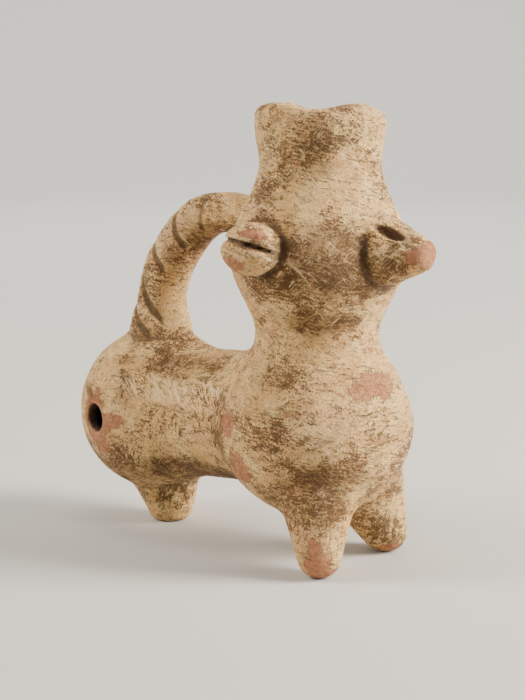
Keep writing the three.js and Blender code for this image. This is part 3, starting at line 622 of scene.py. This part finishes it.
# --------------------------------------------------------------------------
class Nodes:
    """Small helper that writes a node tree in a few words per node."""

    def __init__(self, material):
        material.use_nodes = True
        self.t = material.node_tree
        self.t.nodes.clear()
        self.out = self.t.nodes.new("ShaderNodeOutputMaterial")
        self.bsdf = self.t.nodes.new("ShaderNodeBsdfPrincipled")
        self.t.links.new(self.bsdf.outputs[0], self.out.inputs[0])

    def put(self, sock, v):
        if isinstance(v, bpy.types.NodeSocket):
            self.t.links.new(v, sock)
        elif isinstance(v, (tuple, list)) and len(v) == 3 and sock.type == "RGBA":
            sock.default_value = (*v, 1)
        else:
            sock.default_value = v

    def math(self, op, a, b=None, c=None, clamp=False):
        n = self.t.nodes.new("ShaderNodeMath")
        n.operation, n.use_clamp = op, clamp
        for i, v in enumerate((a, b, c)):
            if v is not None:
                self.put(n.inputs[i], v)
        return n.outputs[0]

    def vmath(self, op, a, b=None, scale=None):
        n = self.t.nodes.new("ShaderNodeVectorMath")
        n.operation = op
        self.put(n.inputs[0], a)
        if b is not None:
            self.put(n.inputs[1], b)
        if scale is not None:
            self.put(n.inputs[3], scale)
        return n.outputs[1] if op in ("LENGTH", "DISTANCE", "DOT_PRODUCT") else n.outputs[0]

    def ramp(self, v, lo, hi, a=0.0, b=1.0):
        n = self.t.nodes.new("ShaderNodeMapRange")
        n.interpolation_type = "SMOOTHSTEP"
        for i, x in enumerate((v, lo, hi, a, b)):
            self.put(n.inputs[i], x)
        return n.outputs[0]

    def lin(self, v, lo, hi, a=0.0, b=1.0):
        n = self.t.nodes.new("ShaderNodeMapRange")
        for i, x in enumerate((v, lo, hi, a, b)):
            self.put(n.inputs[i], x)
        return n.outputs[0]

    def mapped(self, v, scale=(1, 1, 1), rot=(0, 0, 0), loc=(0, 0, 0)):
        n = self.t.nodes.new("ShaderNodeMapping")
        n.vector_type = "TEXTURE"          # turn first, then stretch
        self.put(n.inputs[0], v)
        n.inputs[1].default_value = [-q / s for q, s in zip(loc, scale)]
        n.inputs[2].default_value = [math.radians(r) for r in rot]
        n.inputs[3].default_value = [1 / s for s in scale]
        return n.outputs[0]

    def noise(self, v, scale, detail=3, rough=0.55, dist=0.0, color=False):
        n = self.t.nodes.new("ShaderNodeTexNoise")
        self.put(n.inputs["Vector"], v)
        n.inputs["Scale"].default_value = scale
        n.inputs["Detail"].default_value = detail
        n.inputs["Roughness"].default_value = rough
        n.inputs["Distortion"].default_value = dist
        return n.outputs[1] if color else n.outputs[0]

    def mix(self, f, a, b, mode="MIX"):
        n = self.t.nodes.new("ShaderNodeMix")
        n.data_type, n.blend_type = "RGBA", mode
        self.put(n.inputs[0], f)
        self.put(n.inputs[6], a)
        self.put(n.inputs[7], b)
        return n.outputs[2]

    def attr(self, name):
        n = self.t.nodes.new("ShaderNodeAttribute")
        n.attribute_name = name
        return n.outputs["Fac"]


def at(x, y, z):
    """A place given in the torso's frame, in the row frame's millimetres."""
    return (x, y - SHIFT_Y, z)


def clay_material():
    mat = bpy.data.materials.new("worn_slip_on_red_clay")
    n = Nodes(mat)
    tc = n.t.nodes.new("ShaderNodeTexCoord")
    P = n.vmath("SCALE", tc.outputs["Object"], scale=1000.0)     # millimetres
    # a gentle warp, so that no streak runs dead straight
    warp = n.vmath("SCALE", n.vmath("SUBTRACT", n.noise(P, 0.06, 2, 0.5, color=True), (0.5, 0.5, 0.5)), scale=5.0)
    Pw = n.vmath("ADD", P, warp)
    crease = n.attr("crease")
    wide = n.attr("wide")

    def centred(v, w):
        return n.math("MULTIPLY", n.math("SUBTRACT", v, 0.5), w)

    def total(*parts):
        t = parts[0]
        for q in parts[1:]:
            t = n.math("ADD", t, q)
        return t

    # ---- burnishing strokes run level on the torso, along the body and up the legs
    def streaks(rot, scale, detail=5, rough=0.66, loc=(0, 0, 0)):
        return n.noise(n.mapped(Pw, scale, rot, loc), 1.0, detail, rough)
    level = streaks((5, 4, 0), (0.25, 0.25, 1.45))
    level2 = streaks((17, 13, 0), (0.28, 0.28, 1.40), loc=(9, 4, 2))
    upright = streaks((8, 6, 0), (0.75, 0.75, 0.14), loc=(31, 2, 5))
    along = streaks((-14, 0, 4), (0.80, 0.15, 0.85), loc=(3, 17, 8))
    tilted = n.ramp(n.noise(n.mapped(P, loc=(14, 3, 20)), 0.055, 2), 0.47, 0.56)
    level = n.mix(tilted, level, level2)
    st = n.mix(n.attr("on_body"), level, n.mix(n.ramp(n.noise(P, 0.07, 2), 0.42, 0.58), along, upright))
    st = n.mix(n.math("MULTIPLY", n.attr("on_leg"), 0.8), st, upright)

    # brown film and soil, with painted shade in the broad hollows (wide mask) and from the shaded table entries
    soil_and_shade = n.math("MAXIMUM", n.attr("film_and_shade"), n.math("MULTIPLY", n.ramp(wide, 0.10, 0.60), 0.75))

    # ---- worn, stained areas: clusters of brown streaks, blots and specks
    dens = n.noise(n.mapped(P, (1, 1, 1.4)), 0.050, 3, 0.55)
    blot = n.noise(n.mapped(Pw, (1, 1, 1.7)), 0.26, 8, 0.70)
    fine = n.noise(P, 1.35, 4, 0.75)
    speck = n.noise(P, 2.7, 2, 0.6)
    v = total(n.math("MULTIPLY", st, 0.76), n.math("MULTIPLY", blot, 0.42), centred(dens, 0.70), centred(fine, 0.62),
              n.math("MULTIPLY", soil_and_shade, 0.125), -0.074)
    brown = n.ramp(v, 0.535, 0.615)
    deep = n.ramp(v, 0.630, 0.720)

    # ---- colours
    tone = n.noise(P, 0.10, 4, 0.65)
    slip = n.mix(n.ramp(tone, 0.35, 0.65), (0.86, 0.465, 0.140), (1.0, 0.690, 0.270))
    slip = n.mix(n.math("MULTIPLY", n.ramp(n.noise(n.mapped(P, loc=(40, 0, 0)), 0.055, 3), 0.48, 0.66), 0.55), slip, (0.76, 0.40, 0.195))
    slip = n.mix(n.math("MULTIPLY", n.ramp(blot, 0.42, 0.60), 0.58), slip, (0.45, 0.235, 0.080))
    slip = n.mix(n.math("MULTIPLY", n.ramp(speck, 0.50, 0.62), 0.55), slip, (0.30, 0.16, 0.055))
    slip = n.mix(n.math("MULTIPLY", n.ramp(fine, 0.50, 0.38), 0.50), slip, (1.0, 0.80, 0.46))
    # the slip darkened by soil and painted shade
    slip = n.mix(n.math("MULTIPLY", soil_and_shade, 0.70), slip, (0.30, 0.150, 0.052))
    stain = n.mix(n.ramp(fine, 0.36, 0.64), (0.285, 0.130, 0.037), (0.118, 0.050, 0.014))
    stain = n.mix(n.math("MULTIPLY", n.ramp(tone, 0.46, 0.60), 0.6), stain, (0.20, 0.115, 0.030))
    col = n.mix(n.math("MULTIPLY", brown, 0.90), slip, stain)
    col = n.mix(n.math("MULTIPLY", deep, 0.62), col, (0.075, 0.034, 0.013))
    pits = n.ramp(n.noise(n.mapped(P, loc=(1, 8, 5)), 1.25, 3, 0.6), 0.63, 0.70)
    col = n.mix(n.math("MULTIPLY", pits, 0.70), col, (0.085, 0.042, 0.018))

    # ---- fine scratches: thin level lines of stretched noise, broken up
    def hair(rot, sc, width, loc, cover=0.50):
        w = n.mapped(P, sc, rot, loc)
        a = n.math("ABSOLUTE", n.math("SUBTRACT", n.noise(w, 1.0, 1, 0.4), 0.5))
        line = n.ramp(a, width, width * 0.3)
        gate = n.ramp(n.noise(n.mapped(P, (1, 1, 1), rot, (loc[1], loc[2], loc[0])), 0.16, 2), cover, cover + 0.06)
        return n.math("MULTIPLY", line, gate)
    hs = n.math("MAXIMUM", hair((-38, -30, 0), (0.05, 0.05, 0.55), 0.022, (5, 1, 7), 0.51), hair((32, 26, 0), (0.05, 0.05, 0.52), 0.022, (15, 21, 3), 0.50))
    sep = n.t.nodes.new("ShaderNodeSeparateXYZ")
    n.put(sep.inputs[0], P)
    head = n.ramp(sep.outputs[2], 84, 96, 0.30, 0.66)
    comb = n.math("MULTIPLY", hair((44, 4, 0), (0.09, 0.09, 0.80), 0.075, (12, 44, 6), 0.36), n.attr("comb"))
    col = n.mix(n.math("MAXIMUM", n.math("MULTIPLY", hs, head), n.math("MULTIPLY", comb, 0.95)), col, (0.96, 0.68, 0.36))
    ds = n.math("MAXIMUM", hair((40, 8, 0), (0.08, 0.08, 0.50), 0.022, (2, 33, 12), 0.54), hair((10, 8, 0), (0.06, 0.06, 0.6), 0.026, (8, 3, 42), 0.48))
    col = n.mix(n.math("MULTIPLY", ds, 0.62), col, (0.16, 0.078, 0.030))

    # ---- patches where the slip has flaked off the red clay
    jag = n.math("SUBTRACT", n.noise(P, 0.42, 6, 0.68), 0.5)
    jag2 = n.math("SUBTRACT", n.noise(P, 0.13, 2, 0.5), 0.5)

    red = n.math("ADD", n.attr("patch"), n.math("MULTIPLY", n.math("ADD", jag, n.math("MULTIPLY", jag2, 0.6)), 1.7))
    red = n.ramp(red, 0.07, -0.07)
    chips = n.math("MULTIPLY", n.ramp(n.noise(n.mapped(P, loc=(3, 60, 9)), 0.16, 4, 0.6), 0.66, 0.70), 0.8)
    red = n.math("MAXIMUM", red, chips)
    clay = n.mix(n.ramp(n.noise(P, 0.5, 4, 0.6), 0.35, 0.68), (0.31, 0.108, 0.044), (0.60, 0.232, 0.112))
    clay = n.mix(n.math("MULTIPLY", n.ramp(speck, 0.56, 0.70), 0.5), clay, (0.14, 0.055, 0.028))
    clay = n.mix(n.math("MULTIPLY", n.ramp(fine, 0.56, 0.66), 0.8), clay, (0.80, 0.50, 0.27))
    red = n.math("MULTIPLY", red, n.ramp(fine, 0.34, 0.44, 0.40, 1.0))
    col = n.mix(n.math("MULTIPLY", red, 0.90), col, clay)

    # ---- handle grooves, dirt and painted shade in the creases and hollows, wear and a painted highlight on the edges
    groove = n.attr("groove")
    col = n.mix(n.math("MULTIPLY", n.ramp(groove, 0.18, 0.70), 0.84), col, (0.100, 0.050, 0.018))
    col = n.mix(n.math("MULTIPLY", n.ramp(total(n.attr("seam"), centred(fine, 0.8)), 0.30, 0.95), 0.75), col, (0.13, 0.075, 0.035))
    # painted shade: a soft dark valley round the muzzle's base and the ear lugs, and inside the almond hollows
    col = n.mix(n.math("MULTIPLY", n.ramp(total(n.attr("ring"), centred(fine, 0.5), centred(blot, 0.6)), 0.25, 1.0), 0.84), col, (0.082, 0.042, 0.018))
    # painted shade and dirt: darker in the narrow creases
    crease_shade_and_dirt = n.math("MULTIPLY", n.ramp(n.math("ADD", crease, n.math("MULTIPLY", n.math("SUBTRACT", fine, 0.5), 0.45)), 0.20, 0.95), 0.66)
    # painted shade and soil: darker in the medium hollows
    col = n.mix(n.math("MULTIPLY", n.ramp(total(n.attr("mid"), centred(blot, 0.9)), 0.22, 0.80), 0.70), col, (0.150, 0.074, 0.028))
    col = n.mix(crease_shade_and_dirt, col, (0.080, 0.040, 0.018))
    # painted highlight and rubbed wear: convex edges turned paler
    edge_highlight_and_wear = n.ramp(n.math("ADD", n.attr("edge_highlight_and_wear"), n.math("MULTIPLY", n.math("SUBTRACT", fine, 0.5), 0.5)), 0.30, 0.75)
    col = n.mix(n.math("MULTIPLY", edge_highlight_and_wear, 0.40), col, (0.78, 0.57, 0.34))
    inner = n.attr("inner")
    inside_c = n.mix(n.ramp(n.noise(P, 0.2, 4, 0.6), 0.35, 0.65), (0.20, 0.105, 0.062), (0.30, 0.165, 0.10))
    col = n.mix(inner, col, inside_c)
    # painted shade deep inside the mouth and the rump hole
    col = n.mix(n.math("MULTIPLY", n.attr("inside_shade"), 0.78), col, (0.030, 0.016, 0.009))
    n.put(n.bsdf.inputs["Base Color"], col)

    # ---- gloss: burnished slip has a slight sheen, bare clay and dirt none
    rough = n.lin(n.math("ADD", n.math("MULTIPLY", brown, 0.10), n.math("MULTIPLY", fine, 0.25)), 0.0, 0.35, 0.52, 0.74)
    rough = n.math("ADD", rough, n.math("MULTIPLY", red, 0.12))
    n.put(n.bsdf.inputs["Roughness"], rough)
    n.bsdf.inputs["Specular IOR Level"].default_value = 0.38

    # ---- relief finer than the mesh
    hgt = n.math("MULTIPLY", n.math("SUBTRACT", st, 0.5), 0.35)
    hgt = n.math("ADD", hgt, n.math("MULTIPLY", fine, 0.22))
    hgt = n.math("ADD", hgt, n.math("MULTIPLY", speck, 0.10))
    hgt = n.math("ADD", hgt, n.math("MULTIPLY", blot, 0.20))
    hgt = n.math("SUBTRACT", hgt, n.math("MULTIPLY", red, 0.16))
    hgt = n.math("SUBTRACT", hgt, n.math("MULTIPLY", ds, 0.14))
    b = n.t.nodes.new("ShaderNodeBump")
    b.inputs["Strength"].default_value = 1.0
    b.inputs["Distance"].default_value = 0.0029
    n.put(b.inputs["Height"], hgt)
    n.put(n.bsdf.inputs["Normal"], b.outputs[0])
    return mat


# --------------------------------------------------------------------------
# camera: the photograph's angle. Distance, height, turn and tilt in the
# torso's frame, focal length in pixels of the 525 x 700 frame.
CAM_AZ, CAM_DIST, CAM_H, CAM_TILT, CAM_F, CAM_OFF = -52.04, 542.48, 167.35, 9.363, 1492.37, 2.109


def make_camera():
    a, o, p = math.radians(CAM_AZ), math.radians(CAM_OFF), math.radians(CAM_TILT)
    pos = np.array([math.sin(a) * CAM_DIST, -math.cos(a) * CAM_DIST - SHIFT_Y, CAM_H]) / 1000
    d, r = -np.array([math.sin(a), -math.cos(a)]), np.array([math.cos(a), math.sin(a)])
    f2, r2 = math.cos(o) * d - math.sin(o) * r, math.cos(o) * r + math.sin(o) * d
    F = np.array([f2[0] * math.cos(p), f2[1] * math.cos(p), -math.sin(p)])
    R = np.array([r2[0], r2[1], 0.0])
    U = np.cross(R, F)
    cam = bpy.data.cameras.new("photo_camera")
    cam.sensor_width, cam.sensor_fit = 36.0, "AUTO"
    cam.lens = CAM_F * 36.0 / 700.0
    cam.clip_start, cam.clip_end = 0.01, 50
    ob = bpy.data.objects.new("photo_camera", cam)
    bpy.context.scene.collection.objects.link(ob)
    M = Matrix(((R[0], U[0], -F[0], pos[0]), (R[1], U[1], -F[1], pos[1]), (R[2], U[2], -F[2], pos[2]), (0, 0, 0, 1)))
    ob.matrix_world = M
    bpy.context.scene.camera = ob
    return ob


def area(name, pos, target, size, power, color):
    l = bpy.data.lights.new(name, "AREA")
    l.shape, l.size, l.size_y, l.energy, l.color = "RECTANGLE", size[0], size[1], power, color
    o = bpy.data.objects.new(name, l)
    bpy.context.scene.collection.objects.link(o)
    o.location = pos
    o.rotation_mode = "QUATERNION"
    o.rotation_quaternion = (Vector(target) - Vector(pos)).to_track_quat("-Z", "Y")
    return o


def make_stage():
    # a pale sweep: flat floor that curves up far behind the object, all round
    segs = 96
    rings = [0.0, 0.4, 0.9, 1.6, 2.2] + [2.2 + 1.4 * math.sin(t) for t in np.linspace(0, math.pi / 2, 12)[1:]]
    heights = [0.0] * 5 + [1.4 - 1.4 * math.cos(t) for t in np.linspace(0, math.pi / 2, 12)[1:]]
    rings.append(3.6)
    heights.append(4.5)
    verts, faces = [(0, 0, -0.0002)], []
    for r, z in zip(rings[1:], heights[1:]):
        for s in range(segs):
            a = 2 * math.pi * s / segs
            verts.append((r * math.cos(a), r * math.sin(a), z - 0.0002))
    for s in range(segs):
        faces.append((0, 1 + s, 1 + (s + 1) % segs))
    for k in range(len(rings) - 2):
        for s in range(segs):
            a, b = 1 + k * segs + s, 1 + k * segs + (s + 1) % segs
            faces.append((a, a + segs, b + segs, b))
    me = bpy.data.meshes.new("floor")
    me.from_pydata(verts, [], faces)
    for p in me.polygons:
        p.use_smooth = True
    floor = bpy.data.objects.new("floor", me)
    bpy.context.scene.collection.objects.link(floor)
    mat = bpy.data.materials.new("pale_floor")
    mat.use_nodes = True
    b = mat.node_tree.nodes["Principled BSDF"]
    b.inputs["Base Color"].default_value = (0.52, 0.51, 0.49, 1)
    b.inputs["Roughness"].default_value = 0.8
    b.inputs["Specular IOR Level"].default_value = 0.2
    me.materials.append(mat)


def make_light():
    w = bpy.data.worlds.new("studio")
    bpy.context.scene.world = w
    w.use_nodes = True
    w.node_tree.nodes["Background"].inputs[0].default_value = (1.0, 0.97, 0.93, 1)
    w.node_tree.nodes["Background"].inputs[1].default_value = 0.04
    t = (0, 0, 0.08)
    cam = np.array([-0.788, -0.616, 0.0])      # towards the camera
    right = np.array([0.616, -0.788, 0.0])     # to its right
    up = np.array([0, 0, 1.0])

    def place(c, r, u):
        return tuple(cam * c + right * r + up * u)
    area("right_box", place(0.10, 1.05, 0.62), t, (0.45, 0.80), 50, (1.0, 0.93, 0.81))
    area("left_box", place(0.10, -1.05, 0.80), t, (0.45, 0.80), 21.5, (1.0, 0.93, 0.82))
    area("top_box", place(0.02, 0.0, 1.25), t, (0.50, 0.50), 4, (1.0, 0.95, 0.87))
    area("front_fill", place(1.20, 0.10, 0.80), t, (0.60, 0.60), 0.8, (1.0, 0.95, 0.88))
    area("backdrop_light", place(-1.1, 0.0, 1.9), place(-3.4, 0.0, 0.4), (2.4, 1.0), 120, (1.0, 0.98, 0.95))


make_camera()
make_stage()
make_light()
body = build_vessel()
body.data.materials.clear()
body.data.materials.append(clay_material())
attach(body, "root")
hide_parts("vessel")
